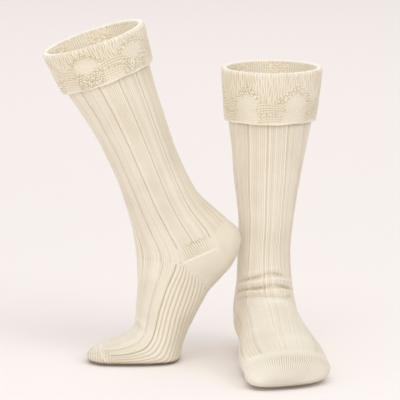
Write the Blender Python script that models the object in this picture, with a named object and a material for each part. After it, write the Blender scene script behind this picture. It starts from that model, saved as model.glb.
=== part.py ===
"""A pair of ribbed knee socks with patterned turned-down cuffs, filled out and empty.

Metres, +Z up, seen from -Y. One sock is on tiptoe, the other stands. The origin is the middle of the standing
sock's opening, where a leg holds the sock. Each sock is knitted in five pieces: cuff, leg, heel, foot and toe.
Its sections are in millimetres in the sock's own upright plane: a is forward, z is above the floor, and the
side axis points to the big toe.
"""

import math

import bmesh
import bpy
import numpy as np
from mathutils import Vector

COLLECTION = "pair_of_kilt_socks"
MM = 0.001

# Cloth thicknesses, gaps and depths, in millimetres
WALL = 2.5
SEAM = 0.5
FLOOR_Z = 0.0
FLAP_WALL = 2.6
FLAP_GAP = 2.0
FLAP_OUTSIDE = FLAP_GAP + FLAP_WALL
FOLD_RADIUS = (WALL + FLAP_OUTSIDE) / 2
FOLD_INNER_RADIUS = FLAP_GAP / 2
FOLD_MIDDLE = (FLAP_OUTSIDE - WALL) / 2
COLLAR_DEPTH = 4.7
HEM_ROUNDING = 0.7

# Knitting: wide plain panels down the leg and over the instep, narrow ribs round the sole
PANELS = 12
GROOVE_DEPTH = 0.9
GROOVE_HALF_WIDTH = 0.080
GROOVE_FLOOR_HALF_WIDTH = 0.035
GROOVE_PROFILE = (
    (-GROOVE_HALF_WIDTH, 0.0),
    (-GROOVE_FLOOR_HALF_WIDTH, GROOVE_DEPTH),
    (GROOVE_FLOOR_HALF_WIDTH, GROOVE_DEPTH),
    (GROOVE_HALF_WIDTH, 0.0),
)
RIB_START = 0.87
INSTEP_END = 0.80
RIB_HALF_STEPS_TO_SIDE = 3
RIB_HALF_STEPS_TO_SOLE = 20
RIB_DEPTH = 1.0
FLOOR_CLEARANCE = 2.0
SNAP_ROWS = 2.0

# Cuff pattern: repeats of a smooth diamond and a zigzag band, in shares of a repeat and of the cuff's height
REPEATS = 6
ZIGZAG_TOP = 0.70
ZIGZAG_DROP = 0.34
BAND_HALF_WIDTH = 0.09
BAND_HEIGHT = 1.1
DIAMOND_MIDDLE = 0.42
DIAMOND_HALF_WIDTH = 0.62
DIAMOND_HALF_HEIGHT = 0.24
DIAMOND_HEIGHT = 1.3
DIAMOND_EDGE = 2.5
PATTERN_FADE = 6

# Columns and rows of the meshes
FLAP_COLUMNS = 72
# Rows of the flap as shares of its height, over a diamond and half-way between two
FLAP_ROWS = (
    (1.0, 1.0),
    (0.93, 0.88),
    (0.79, 0.45),
    (0.70, 0.36),
    (0.61, 0.27),
    (0.52, 0.24),
    (0.42, 0.20),
    (0.31, 0.16),
    (0.18, 0.12),
    (0.05, 0.05),
    (0.0, 0.0),
)
LINING_COLUMNS = 36
FOLD_INNER_STEPS = 3
FOLD_OUTER_STEPS = 7
LEG_INNER_COLUMNS = 24
HEEL_OUTER_STEPS = 14
HEEL_INNER_STEPS = 10
HEEL_FIRST_STATION = 1.02
HEEL_ROWS = (0, 0.12, 0.26, 0.4, 0.55, 0.7, 0.85, 1)
HEEL_SPAN_SAMPLES = 8
LARGEST_INSET = 0.45
FOOT_INNER_COLUMNS = 24
TOE_OUTER_COLUMNS = 36
TOE_INNER_COLUMNS = 24
TOE_ROWS = (0.15, 0.32, 0.5, 0.67, 0.82, 0.93)
ARC_SAMPLES = 60
NUDGE = 0.001
SHARP_DEGREES = 50

COLUMNS = (
    "front_a", "front_z", "side_a", "side_z", "back_a", "back_z",
    "half_width", "skew", "tilt", "shift", "sole_power",
)
FRONT = slice(0, 2)
SIDE = slice(2, 4)
BACK = slice(4, 6)
HALF_WIDTH, SKEW, TILT, SHIFT, SOLE_POWER = (COLUMNS.index(name) for name in COLUMNS[6:])

# Leg sections from the opening down to the ankle seam; the foot goes on from the last one.
TIPTOE_LEG = (
    (152.1, 359.5, 97.5, 377.0, 42.9, 394.4, 54.0, 0, -0.055, 0, 1),
    (126.4, 312.2, 79.8, 329.2, 33.1, 346.3, 47.6, 0, -0.03, 0, 1),
    (104.4, 278.6, 63.5, 293.6, 22.6, 308.6, 42.5, 0, 0, 0, 1),
    (85.8, 246.2, 48.7, 259.8, 11.6, 273.3, 39.5, 0, 0, 0, 1),
    (70.8, 213.2, 35.4, 227.0, 0.0, 240.9, 36.0, 0, 0, 0, 1),
    (59.2, 180.2, 23.0, 196.0, -12.2, 214.4, 32.0, 0, 0, 0, 1),
    (51.6, 150.8, 9.5, 160.0, -25.5, 193.2, 29.5, 0, 0, 0, 1),
    (47.6, 121.3, -5.8, 117.8, -55.7, 166.1, 30.0, 0, 0, 0, 1),
)
TIPTOE_HEEL = (
    (-69.6, 153.1),
    (-72.5, 142.5),
    (-70.2, 128.4),
    (-62.6, 111.9),
    (-52.2, 99.0),
)
TIPTOE_FOOT = (
    (47.6, 121.3, -5.8, 117.8, -39.4, 84.8, 30.0, 0, 0, 0, 1),
    (46.4, 89.5, 6.0, 86.0, -30.2, 70.1, 34.0, 0, 0, 0, 1),
    (48.1, 66.0, 14.8, 59.0, -18.6, 48.3, 36.0, 0, 0, 0, 1),
    (48.7, 48.3, 19.0, 41.5, -11.0, 33.0, 39.0, 0, 0, 0, 0.95),
    (51.0, 38.9, 23.0, 28.3, -5.2, 17.7, 42.0, 0, 0, 0, 0.9),
    (58.0, 31.8, 30.0, 18.0, -1.2, 1.0, 44.5, 0.02, 0, 1, 0.8),
    (68.4, 25.9, 43.0, 13.0, 15.1, -1.5, 46.0, 0.05, 0, 2, 0.75),
    (81.2, 21.2, 62.0, 10.5, 44.0, -1.5, 45.0, 0.1, 0, 3, 0.72),
    (86.4, 19.5, 78.2, 9.5, 68.4, -1.5, 42.0, 0.14, 0, 4, 0.72),
)
TIPTOE_TOE = (
    (104.5, 17.0, 104.6, 7.0, 104.0, -1.0, 24.0, 0.2, 0, 5, 0.72),
    (104.6, 7.0, 104.6, 7.0, 104.6, 7.0, 0.0, 0.2, 0, 6, 0.72),
)

STANDING_LEG = (
    (52.0, 338.5, -5.0, 338.5, -62.0, 338.5, 54.0, 0, 0, -10.2, 1),
    (44.0, 276.0, -6.0, 276.0, -56.0, 276.0, 47.6, 0, 0, -8.4, 1),
    (39.0, 244.0, -5.0, 244.0, -49.0, 244.0, 42.3, 0, 0, -6.8, 1),
    (36.0, 216.0, -4.5, 216.0, -45.0, 216.0, 38.9, 0, 0, -5.4, 1),
    (35.0, 188.0, -3.5, 188.0, -42.0, 188.0, 34.8, 0, 0, -4.2, 1),
    (34.0, 159.0, -3.5, 159.0, -41.0, 159.0, 31.2, 0, 0, -3.4, 1),
    (33.0, 131.0, -4.5, 126.0, -42.5, 131.0, 29.8, 0, 0, -1.8, 1),
    (36.5, 106.0, -4.0, 88.0, -49.0, 101.0, 31.2, 0, 0, -1.8, 1),
    (50.0, 84.0, -2.0, 47.0, -61.0, 68.0, 35.5, 0, 0, -2.5, 1),
)
STANDING_HEEL = (
    (-65.5, 45.0),
    (-66.0, 28.0),
    (-60.0, 9.0),
    (-48.0, 0.0),
    (-30.0, -1.5),
)
STANDING_FOOT = (
    (50.0, 84.0, -2.0, 47.0, -12.0, -1.5, 35.5, 0, 0, -2.5, 1),
    (64.0, 76.0, 22.0, 40.0, 8.0, -1.5, 36.0, 0, 0, -2.5, 0.85),
    (84.0, 66.0, 50.0, 34.0, 36.0, -1.5, 38.3, 0.02, 0, -2.5, 0.78),
    (106.0, 56.0, 80.0, 28.0, 66.0, -1.5, 44.0, 0.04, 0, -1.5, 0.74),
    (128.0, 45.0, 108.0, 22.5, 96.0, -1.5, 49.0, 0.07, 0, -1.5, 0.72),
    (150.0, 35.0, 140.0, 18.0, 130.0, -1.5, 49.5, 0.11, 0, -1.5, 0.72),
)
STANDING_TOE = (
    (196.0, 26.0, 198.0, 9.0, 196.0, -1.0, 60.0, 0.23, 0, 5, 0.72),
    (196.0, 9.0, 196.0, 9.0, 196.0, 9.0, 0.0, 0.23, 0, 8, 0.72),
)

# Ankle folds of the standing sock: height at the front, droop towards the big-toe side and the other side,
# half the height of the fold, how far it is raised, and how far round it reaches from the front, in degrees
FOLD_COLUMNS = ("front_z", "droop_inner", "droop_outer", "half_height", "raised", "reach")
STANDING_FOLDS = (
    (102.0, 8.0, 2.0, 4.0, -1.6, 66.0),
    (96.5, 8.0, 3.0, 4.0, 1.4, 80.0),
    (90.0, 8.0, 4.0, 4.5, -1.9, 85.0),
)

SOCKS = {
    "tiptoe": {
        "leg": TIPTOE_LEG,
        "heel": TIPTOE_HEEL,
        "foot": TIPTOE_FOOT,
        "toe": TIPTOE_TOE,
        "folds": (),
        "cuff_depth": 48.0,
        "place": (-25.5, -25.0),
        "forward_degrees": 180.0,
        "mirrored": False,
        "panel_turn": 0.0,
        "panel_warp": -0.0106,
        "warp_centre": 0.25,
        "cuff_turn": 19 / FLAP_COLUMNS,
        "leg_rows": (0.1, 0.7, 1.4, 2.1, 2.8, 3.5, 4.2, 4.9, 5.5, 6, 6.5, 7),
        "foot_rows": (0, 0.4, 1, 1.7, 2.5, 3.1, 3.6, 4.1, 4.6, 5.2, 6.2, 7.3, 8),
    },
    "standing": {
        "leg": STANDING_LEG,
        "heel": STANDING_HEEL,
        "foot": STANDING_FOOT,
        "toe": STANDING_TOE,
        "folds": STANDING_FOLDS,
        "cuff_depth": 62.0,
        "place": (73.7, 0.0),
        "forward_degrees": -81.0,
        "mirrored": True,
        "panel_turn": -0.014,
        "panel_warp": 0.016,
        "warp_centre": 0.0,
        "cuff_turn": 2 / FLAP_COLUMNS,
        "leg_rows": (0.08, 0.7, 1.4, 2.1, 2.8, 3.5, 4.2, 4.9, 5.5, 6, 6.4, 6.7, 6.9, 7.06, 7.18, 7.3, 7.43,
                     7.58, 7.72, 7.86, 8),
        "foot_rows": (0, 0.3, 0.8, 1.4, 2, 2.6, 3.2, 3.8, 4.4, 5),
    },
}

CREAM_CUFF = (0.78, 0.70, 0.53, 1.0)
CREAM_LEG = (0.77, 0.69, 0.51, 1.0)
CREAM_HEEL = (0.80, 0.72, 0.57, 1.0)
CREAM_FOOT = (0.83, 0.77, 0.64, 1.0)
CREAM_TOE = (0.85, 0.78, 0.66, 1.0)
KNIT_ROUGHNESS = 0.95


class Curve:
    """A smooth curve through rows of numbers, read at a row number that may lie between rows."""

    def __init__(self, rows, gaps):
        self.rows = rows
        self.gaps = gaps
        steps = np.diff(rows, axis=0) / gaps[:, None]
        before = gaps[:-1, None]
        after = gaps[1:, None]
        middle = (steps[:-1] * after + steps[1:] * before) / (before + after)
        self.slopes = np.vstack((steps[:1], middle, steps[-1:]))

    def point(self, at):
        row = min(max(int(at), 0), len(self.gaps) - 1)
        t = at - row
        gap = self.gaps[row]
        return (self.rows[row] * (2 * t ** 3 - 3 * t ** 2 + 1)
                + self.slopes[row] * gap * (t ** 3 - 2 * t ** 2 + t)
                + self.rows[row + 1] * (3 * t ** 2 - 2 * t ** 3)
                + self.slopes[row + 1] * gap * (t ** 3 - t ** 2))


class Sock:
    """The smooth surface through one sock's sections, and the place where it stands."""

    def __init__(self, settings):
        self.settings = settings
        leg = np.array(settings["leg"], dtype=float)
        foot = np.array(settings["foot"], dtype=float)
        heel = np.array(settings["heel"], dtype=float)
        self.leg_end = len(leg) - 1
        self.foot_end = len(foot) - 1
        self.heel_steps = len(heel) + 1
        body = np.vstack((leg, foot[1:]))
        body_gaps = np.linalg.norm(np.diff(body[:, SIDE], axis=0), axis=1)
        self.body = Curve(body, body_gaps)
        heel_line = np.vstack((leg[-1, BACK], heel, foot[0, BACK]))
        heel_gaps = np.linalg.norm(np.diff(heel_line, axis=0), axis=1)
        gaps = np.concatenate((body_gaps[:self.leg_end], heel_gaps, body_gaps[self.leg_end:]))
        self.backs = Curve(np.vstack((leg[:, BACK], heel, foot[:, BACK])), gaps)
        self.seam_share = self.seam_shares()

    def leg(self, at):
        """Section of the leg at a row number counted from the opening."""
        section = self.body.point(at)
        section[BACK] = self.backs.point(at)
        return section

    def foot(self, at):
        """Section of the foot at a row number counted from the ankle seam."""
        section = self.body.point(self.leg_end + at)
        section[BACK] = self.backs.point(self.leg_end + self.heel_steps + at)
        return section

    def heel(self, share):
        """Section of the heel, turned about the ankle's side points, from the leg (0) to the sole (1)."""
        section = self.body.point(self.leg_end)
        section[BACK] = self.backs.point(self.leg_end + self.heel_steps * share)
        section[SOLE_POWER] = 1.0
        return section

    def toe(self, share):
        """Section of the toe cap from its seam (0) to the tip (1): a smooth curve that ends round."""
        seam = self.foot(self.foot_end)
        slope = (seam - self.foot(self.foot_end - NUDGE)) / NUDGE
        blunt, tip = (np.array(row, dtype=float) for row in self.settings["toe"])
        reach = (tip[SIDE][0] - seam[SIDE][0]) / max(slope[SIDE][0], 1.0)
        start = seam + slope * reach / 3
        rest = 1 - share
        section = (seam * rest ** 3 + start * 3 * rest ** 2 * share
                   + blunt * 3 * rest * share ** 2 + tip * share ** 3)
        section[SOLE_POWER] = seam[SOLE_POWER]
        return section

    def seam_shares(self):
        """Share of the half round where the ankle's side point lies, on each side, at a column of the mesh."""
        front, back = quarter_lengths(self.leg(self.leg_end))
        natural = front / (front + back)
        shares = {}
        for side in (1, -1):
            columns = [half for column_side, half, _ in self.leg_columns() if column_side == side]
            shares[side] = min(columns, key=lambda half: abs(half - natural))
        return shares

    def leg_columns(self):
        """Grooves and panels round the leg as (side, share of the half round from the front, depth)."""
        settings = self.settings
        columns = []
        for panel in range(PANELS):
            for offset, depth in ((-0.5, 0.0),) + GROOVE_PROFILE:
                turn = (panel + 0.5 + offset) / PANELS + settings["panel_turn"]
                turn += settings["panel_warp"] * math.sin(math.tau * (turn - settings["warp_centre"]))
                turn %= 1.0
                side = 1 if turn <= 0.5 else -1
                columns.append((side, 2 * turn if side == 1 else 2 * (1 - turn), depth))
        return sorted(columns, key=lambda column: column[1] if column[0] == 1 else 2 - column[1])

    def leg_stations(self, at, columns):
        """Columns as (side, station): 0 to 1 from the front to the side point, and 1 to 2 on to the back."""
        front, back = quarter_lengths(self.leg(at))
        natural = front / (front + back)
        blend = min(max((at - self.leg_end + SNAP_ROWS) / SNAP_ROWS, 0.0), 1.0)
        blend = blend * blend * (3 - 2 * blend)
        stations = []
        for side, half in columns:
            share = natural + (self.seam_share[side] - natural) * blend
            if half <= share:
                stations.append((side, half / share))
            else:
                stations.append((side, 1 + (half - share) / (1 - share)))
        return stations

    def fold_height(self, point, angle):
        """Height of the ankle folds at a point of the front half."""
        total = 0.0
        for row in self.settings["folds"]:
            fold = dict(zip(FOLD_COLUMNS, row))
            share = abs(math.degrees(angle)) / fold["reach"]
            if share >= 1:
                continue
            droop = fold["droop_inner"] if angle > 0 else fold["droop_outer"]
            middle = fold["front_z"] - droop * share ** 2
            level = (point[2] - middle) / fold["half_height"]
            if abs(level) < 1:
                total += fold["raised"] * math.cos(level * math.pi / 2) ** 2 * (1 - share ** 2)
        return total

    def stage(self, point):
        """A point of the sock's own axes (forward, side, up) in the object's axes, in metres."""
        forward_axis, across_axis = self.axes()
        x, y = self.settings["place"]
        forward, across, up = point
        return Vector((
            x + forward * forward_axis[0] + across * across_axis[0],
            y + forward * forward_axis[1] + across * across_axis[1],
            up,
        )) * MM

    def axes(self):
        turn = math.radians(self.settings["forward_degrees"])
        forward = (math.cos(turn), math.sin(turn))
        if self.settings["mirrored"]:
            return forward, (forward[1], -forward[0])
        return forward, (-forward[1], forward[0])


def outline(section, angle):
    """Point of a section at an angle from its front (0) over the big-toe side (+) or the other side (-)."""
    cosine = math.cos(angle)
    sine = math.sin(angle)
    if cosine >= 0:
        plane = section[SIDE] + (section[FRONT] - section[SIDE]) * cosine
        across = section[HALF_WIDTH] * sine
    else:
        power = section[SOLE_POWER]
        plane = section[SIDE] + (section[BACK] - section[SIDE]) * (-cosine) ** power
        across = section[HALF_WIDTH] * math.copysign(abs(sine) ** power, sine)
    return np.array((
        plane[0] + section[SKEW] * across,
        across + section[SHIFT],
        plane[1] + section[TILT] * across,
    ))


def quarter_arcs(section):
    """Angles and lengths along the outline for the front quarter and the back quarter."""
    arcs = []
    for start in (0, math.pi / 2):
        angles = np.linspace(start, start + math.pi / 2, ARC_SAMPLES + 1)
        points = np.array([outline(section, angle) for angle in angles])
        steps = np.linalg.norm(np.diff(points, axis=0), axis=1)
        arcs.append((angles, np.concatenate(((0.0,), np.cumsum(steps)))))
    return arcs


def quarter_lengths(section):
    return tuple(lengths[-1] for _, lengths in quarter_arcs(section))


def station_angles(section, stations):
    """Angle of each (side, station), even along the outline in the front quarter and the back quarter."""
    arcs = quarter_arcs(section)
    result = []
    for side, station in stations:
        in_front = station <= 1
        angles, lengths = arcs[0 if in_front else 1]
        share = station if in_front else station - 1
        result.append(side * float(np.interp(share * lengths[-1], lengths, angles)))
    return result


def normal(surface, at, angle):
    """Unit normal of the surface, pointing out of the sock."""
    around = outline(surface(at), angle + NUDGE) - outline(surface(at), angle - NUDGE)
    along = outline(surface(at + NUDGE), angle) - outline(surface(at - NUDGE), angle)
    direction = np.cross(along, around)
    return direction / max(np.linalg.norm(direction), 1e-12)


def raised(surface, at, angle, height, floor=FLOOR_Z):
    """Surface point moved out along its normal, and kept above the floor."""
    point = outline(surface(at), angle) + normal(surface, at, angle) * height
    point[2] = max(point[2], floor)
    return point


def moved_along(surface, at, angle, distance):
    """Row number that lies a distance in millimetres further along the surface."""
    if distance == 0:
        return at
    back = math.copysign(NUDGE, -distance)
    speed = np.linalg.norm(outline(surface(at), angle) - outline(surface(at + back), angle)) / NUDGE
    return at + distance / speed


def outer_ring(sock, surface, at, stations, depths, inset=0.0):
    """Outer points of one row, with its relief, moved along by an inset to leave a seam's gap."""
    points = []
    for angle, depth in zip(station_angles(surface(at), stations), depths):
        row = moved_along(surface, at, angle, inset)
        base = outline(surface(row), angle)
        height = sock.fold_height(base, angle) - depth
        if base[2] < FLOOR_CLEARANCE:
            height = 0.0
        points.append(sock.stage(raised(surface, row, angle, height)))
    return points


def inner_ring(sock, surface, at, stations, inset=0.0):
    """Plain inner points of one row."""
    points = []
    for angle in station_angles(surface(at), stations):
        row = moved_along(surface, at, angle, inset)
        points.append(sock.stage(raised(surface, row, angle, -WALL, WALL)))
    return points


def even_columns(count):
    """Columns spaced evenly round a section as (side, share of the half round)."""
    columns = []
    for index in range(count):
        turn = index / count
        columns.append((1, 2 * turn) if turn <= 0.5 else (-1, 2 * (1 - turn)))
    return columns


def even_stations(count):
    return [(side, 2 * half) for side, half in even_columns(count)]


def instep_columns(sock):
    """Columns of the leg's whole panels that run on over the instep, as (side, station, depth)."""
    columns = sock.leg_columns()
    stations = sock.leg_stations(sock.leg_end, [column[:2] for column in columns])
    placed = [(side, station, column[2]) for (side, station), column in zip(stations, columns)]
    kept = [column for column in placed if column[1] < INSTEP_END]
    for side in (1, -1):
        while max(column for column in kept if column[0] == side)[2] > 0:
            kept.remove(max(column for column in kept if column[0] == side))
    return kept


def foot_columns(sock):
    """Panels over the instep and narrow ribs round the sole, as (side, station, depth)."""
    ribs = []
    for step in range(RIB_HALF_STEPS_TO_SIDE + 1):
        station = RIB_START + (1 - RIB_START) * step / RIB_HALF_STEPS_TO_SIDE
        ribs.append((station, RIB_DEPTH if step % 2 == 0 else 0.0))
    for step in range(1, RIB_HALF_STEPS_TO_SOLE + 1):
        crest = (step + RIB_HALF_STEPS_TO_SIDE) % 2 == 1
        ribs.append((1 + step / RIB_HALF_STEPS_TO_SOLE, 0.0 if crest else RIB_DEPTH))
    columns = instep_columns(sock)
    columns += [(1, station, depth) for station, depth in ribs]
    columns += [(-1, station, depth) for station, depth in ribs[:-1]]
    return sorted(columns, key=lambda column: column[1] if column[0] == 1 else 4 - column[1])


def creased_columns(depths):
    """Numbers of the columns where a groove or rib begins, ends or turns."""
    return [
        index for index, depth in enumerate(depths)
        if depths[index - 1] != depth or depths[(index + 1) % len(depths)] != depth
    ]


def repeat_place(share_round):
    """Place in a repeat, 0 over a diamond and 1 half-way between two, from a share of the round."""
    return abs((share_round * REPEATS) % 1.0 - 0.5) * 2


def cuff_height(across, share_up):
    """Relief of the cuff at a place in the repeat and a share of the height above the hem."""
    zigzag = ZIGZAG_TOP - ZIGZAG_DROP * across
    band = max(0.0, 1 - abs(share_up - zigzag) / BAND_HALF_WIDTH)
    upright = abs(share_up - DIAMOND_MIDDLE) / DIAMOND_HALF_HEIGHT
    diamond = max(0.0, 1 - across / DIAMOND_HALF_WIDTH - upright)
    fade = min(1.0, PATTERN_FADE * min(share_up, 1 - share_up))
    return fade * (BAND_HEIGHT * band + DIAMOND_HEIGHT * min(1.0, DIAMOND_EDGE * diamond))


def loop_edges(verts):
    return list(zip(verts, verts[1:] + verts[:1]))


def add_rows(mesh, rows, closed=True, creased=()):
    """Adds rows of points, faces between them and creases down some columns, and returns the vertices."""
    grid = [[mesh.verts.new(point) for point in row] for row in rows]
    for low, high in zip(grid, grid[1:]):
        pairs = list(zip(low, low[1:], high[1:], high))
        if closed:
            pairs.append((low[-1], low[0], high[0], high[-1]))
        for corners in pairs:
            mesh.faces.new(corners)
        for column in creased:
            mesh.edges.get((low[column], high[column])).smooth = False
    return grid


def loop_shares(verts):
    """Share of the whole length at each vertex of a closed loop."""
    lengths = [0.0]
    for a, b in loop_edges(verts):
        lengths.append(lengths[-1] + (b.co - a.co).length)
    return [length / lengths[-1] for length in lengths]


def join_loops(mesh, first, second):
    """A strip of triangles between two closed loops that need not have the same number of points."""
    first_shares = loop_shares(first)
    second_shares = loop_shares(second)
    i = 0
    j = 0
    while i < len(first) or j < len(second):
        a = first[i % len(first)]
        b = second[j % len(second)]
        step_first = j >= len(second) or (i < len(first) and first_shares[i + 1] <= second_shares[j + 1])
        if step_first:
            i += 1
            mesh.faces.new((a, first[i % len(first)], b))
        else:
            j += 1
            mesh.faces.new((a, second[j % len(second)], b))


def close_tip(mesh, loop, point):
    tip = mesh.verts.new(point)
    for a, b in loop_edges(loop):
        mesh.faces.new((a, b, tip))


def every_other(rows):
    """Every second row, with the last one."""
    return rows[::2] if len(rows) % 2 else rows[::2] + rows[-1:]


def make_object(name, mesh, colour, origin, collection):
    for vert in mesh.verts:
        vert.co -= origin
    bmesh.ops.recalc_face_normals(mesh, faces=mesh.faces)
    for edge in mesh.edges:
        if edge.calc_face_angle(0.0) > math.radians(SHARP_DEGREES):
            edge.smooth = False
    data = bpy.data.meshes.new(name)
    mesh.to_mesh(data)
    mesh.free()
    data.shade_smooth()
    material = bpy.data.materials.new(name + "_knit")
    material.use_nodes = True
    shader = material.node_tree.nodes["Principled BSDF"]
    shader.inputs["Base Color"].default_value = colour
    shader.inputs["Roughness"].default_value = KNIT_ROUGHNESS
    shader.inputs["Metallic"].default_value = 0.0
    data.materials.append(material)
    collection.objects.link(bpy.data.objects.new(name, data))


def cuff_point(sock, drop, column, height):
    """Point of the cuff at a depth below the fold's top and a height out from the leg."""
    at = drop / np.linalg.norm(sock.leg(1)[SIDE] - sock.leg(0)[SIDE])
    side, half = column
    angle = station_angles(sock.leg(at), [(side, 2 * half)])[0]
    return sock.stage(raised(sock.leg, at, angle, height))


def flap_rows(sock):
    """Outer rows of the turned-down flap, from the top to the hem, bent along the zigzag band."""
    depth = sock.settings["cuff_depth"]
    rows = []
    for over_diamond, between in FLAP_ROWS:
        points = []
        for side, half in even_columns(FLAP_COLUMNS):
            turn = half / 2 if side == 1 else 1 - half / 2
            across = repeat_place(turn - sock.settings["cuff_turn"])
            share = over_diamond + (between - over_diamond) * across
            drop = depth - share * (depth - FOLD_RADIUS)
            height = FLAP_OUTSIDE + cuff_height(across, share)
            points.append(cuff_point(sock, drop, (side, half), height))
        rows.append(points)
    return rows


def lining_profile(depth):
    """Inner part of the cuff's section, from the hem to the fold's top, as (height, depth below the top)."""
    profile = [
        (FLAP_OUTSIDE - HEM_ROUNDING, depth + HEM_ROUNDING),
        (FLAP_GAP + HEM_ROUNDING, depth + HEM_ROUNDING),
        (FLAP_GAP, depth),
        (FLAP_GAP, depth / 2),
    ]
    for step in range(FOLD_INNER_STEPS + 1):
        turn = math.pi * step / FOLD_INNER_STEPS
        height = FOLD_INNER_RADIUS * (1 + math.cos(turn))
        profile.append((height, FOLD_RADIUS - FOLD_INNER_RADIUS * math.sin(turn)))
    profile.append((0.0, COLLAR_DEPTH))
    profile.append((-WALL, COLLAR_DEPTH))
    for step in range(1, FOLD_OUTER_STEPS):
        turn = math.pi * (1 - step / FOLD_OUTER_STEPS)
        height = FOLD_MIDDLE + FOLD_RADIUS * math.cos(turn)
        profile.append((height, FOLD_RADIUS - FOLD_RADIUS * math.sin(turn)))
    return profile


def build_cuff(sock, mesh):
    lining = [
        [cuff_point(sock, drop, column, height) for column in even_columns(LINING_COLUMNS)]
        for height, drop in lining_profile(sock.settings["cuff_depth"])
    ]
    flap_grid = add_rows(mesh, flap_rows(sock))
    lining_grid = add_rows(mesh, lining)
    join_loops(mesh, flap_grid[-1], lining_grid[0])
    join_loops(mesh, flap_grid[0], lining_grid[-1])


def build_tube(mesh, outer, inner, creased):
    outer_grid = add_rows(mesh, outer, creased=creased)
    inner_grid = add_rows(mesh, inner)
    join_loops(mesh, outer_grid[0], inner_grid[0])
    join_loops(mesh, outer_grid[-1], inner_grid[-1])


def build_leg(sock, mesh):
    columns = sock.leg_columns()
    places = [column[:2] for column in columns]
    depths = [column[2] for column in columns]
    inner_places = even_columns(LEG_INNER_COLUMNS)
    rows = sock.settings["leg_rows"]
    insets = {sock.leg_end: -SEAM / 2}
    outer = [
        outer_ring(sock, sock.leg, at, sock.leg_stations(at, places), depths, insets.get(at, 0.0))
        for at in rows
    ]
    inner = [
        inner_ring(sock, sock.leg, at, sock.leg_stations(at, inner_places), insets.get(at, 0.0))
        for at in every_other(rows)
    ]
    build_tube(mesh, outer, inner, creased_columns(depths))


def heel_span(sock, angle):
    """Length of the heel from the leg seam to the sole seam along one column."""
    points = [outline(sock.heel(step / HEEL_SPAN_SAMPLES), angle) for step in range(HEEL_SPAN_SAMPLES + 1)]
    return sum(np.linalg.norm(b - a) for a, b in zip(points, points[1:]))


def heel_rows(sock, steps, height, floor):
    """Rows of the heel from leg seam to sole seam, each from the one ankle point round to the other."""
    half = [HEEL_FIRST_STATION] + [1 + step / steps for step in range(1, steps)]
    stations = [(1, station) for station in half + [2.0]]
    stations += [(-1, station) for station in reversed(half)]
    rows = []
    for share in HEEL_ROWS:
        points = []
        for angle in station_angles(sock.heel(share), stations):
            inset = min(SEAM / heel_span(sock, angle), LARGEST_INSET)
            at = inset + (1 - 2 * inset) * share
            points.append(sock.stage(raised(sock.heel, at, angle, height, floor)))
        rows.append(points)
    return rows


def grid_border(grid):
    right = [row[-1] for row in grid[1:-1]]
    left = [row[0] for row in grid[-2:0:-1]]
    return grid[0] + right + grid[-1][::-1] + left


def build_heel(sock, mesh):
    outer = add_rows(mesh, heel_rows(sock, HEEL_OUTER_STEPS, 0.0, FLOOR_Z), closed=False)
    inner = add_rows(mesh, heel_rows(sock, HEEL_INNER_STEPS, -WALL, WALL), closed=False)
    join_loops(mesh, grid_border(outer), grid_border(inner))


def build_foot(sock, mesh):
    columns = foot_columns(sock)
    stations = [column[:2] for column in columns]
    depths = [column[2] for column in columns]
    flat = [0.0] * len(columns)
    rows = sock.settings["foot_rows"]
    insets = {0: SEAM / 2, sock.foot_end: -SEAM / 2}
    outer = []
    for at in rows:
        relief = flat if at == sock.foot_end else depths
        outer.append(outer_ring(sock, sock.foot, at, stations, relief, insets.get(at, 0.0)))
    inner_stations = even_stations(FOOT_INNER_COLUMNS)
    inner = [
        inner_ring(sock, sock.foot, at, inner_stations, insets.get(at, 0.0))
        for at in every_other(rows)
    ]
    build_tube(mesh, outer, inner, creased_columns(depths))


def build_toe(sock, mesh):
    seam_stations = [column[:2] for column in foot_columns(sock)]
    flat = [0.0] * len(seam_stations)
    seam_loop = add_rows(mesh, [outer_ring(sock, sock.toe, 0, seam_stations, flat, SEAM / 2)])[0]
    outer_stations = even_stations(TOE_OUTER_COLUMNS)
    flat = [0.0] * len(outer_stations)
    outer = add_rows(mesh, [outer_ring(sock, sock.toe, at, outer_stations, flat) for at in TOE_ROWS])
    join_loops(mesh, seam_loop, outer[0])
    inner_stations = even_stations(TOE_INNER_COLUMNS)
    inner_rows = [inner_ring(sock, sock.toe, 0, inner_stations, SEAM / 2)]
    inner_rows += [inner_ring(sock, sock.toe, at, inner_stations) for at in TOE_ROWS]
    inner = add_rows(mesh, inner_rows)
    join_loops(mesh, seam_loop, inner[0])
    tip = outline(sock.toe(1), 0.0)
    close_tip(mesh, outer[-1], sock.stage(tip))
    close_tip(mesh, inner[-1], sock.stage(tip - np.array((WALL, 0.0, 0.0))))


PIECES = (
    ("cuff", build_cuff, CREAM_CUFF),
    ("leg", build_leg, CREAM_LEG),
    ("heel", build_heel, CREAM_HEEL),
    ("foot", build_foot, CREAM_FOOT),
    ("toe", build_toe, CREAM_TOE),
)


def main():
    for scene_object in list(bpy.data.objects):
        bpy.data.objects.remove(scene_object)
    collection = bpy.data.collections.new(COLLECTION)
    bpy.context.scene.collection.children.link(collection)
    socks = {name: Sock(settings) for name, settings in SOCKS.items()}
    opening = socks["standing"].leg(0)
    origin = socks["standing"].stage((opening[SIDE][0], opening[SHIFT], opening[SIDE][1]))
    for sock_name, sock in socks.items():
        for piece_name, build_piece, colour in PIECES:
            mesh = bmesh.new()
            build_piece(sock, mesh)
            make_object(f"{sock_name}_{piece_name}", mesh, colour, origin, collection)


main()
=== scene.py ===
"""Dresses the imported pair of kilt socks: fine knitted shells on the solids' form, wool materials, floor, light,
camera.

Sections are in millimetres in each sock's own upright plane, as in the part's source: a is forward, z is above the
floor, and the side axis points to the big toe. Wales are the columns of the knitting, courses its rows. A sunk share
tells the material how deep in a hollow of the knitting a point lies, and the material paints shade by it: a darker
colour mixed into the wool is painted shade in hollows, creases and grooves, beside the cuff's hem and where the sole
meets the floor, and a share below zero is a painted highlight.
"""

import functools
import math

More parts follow.
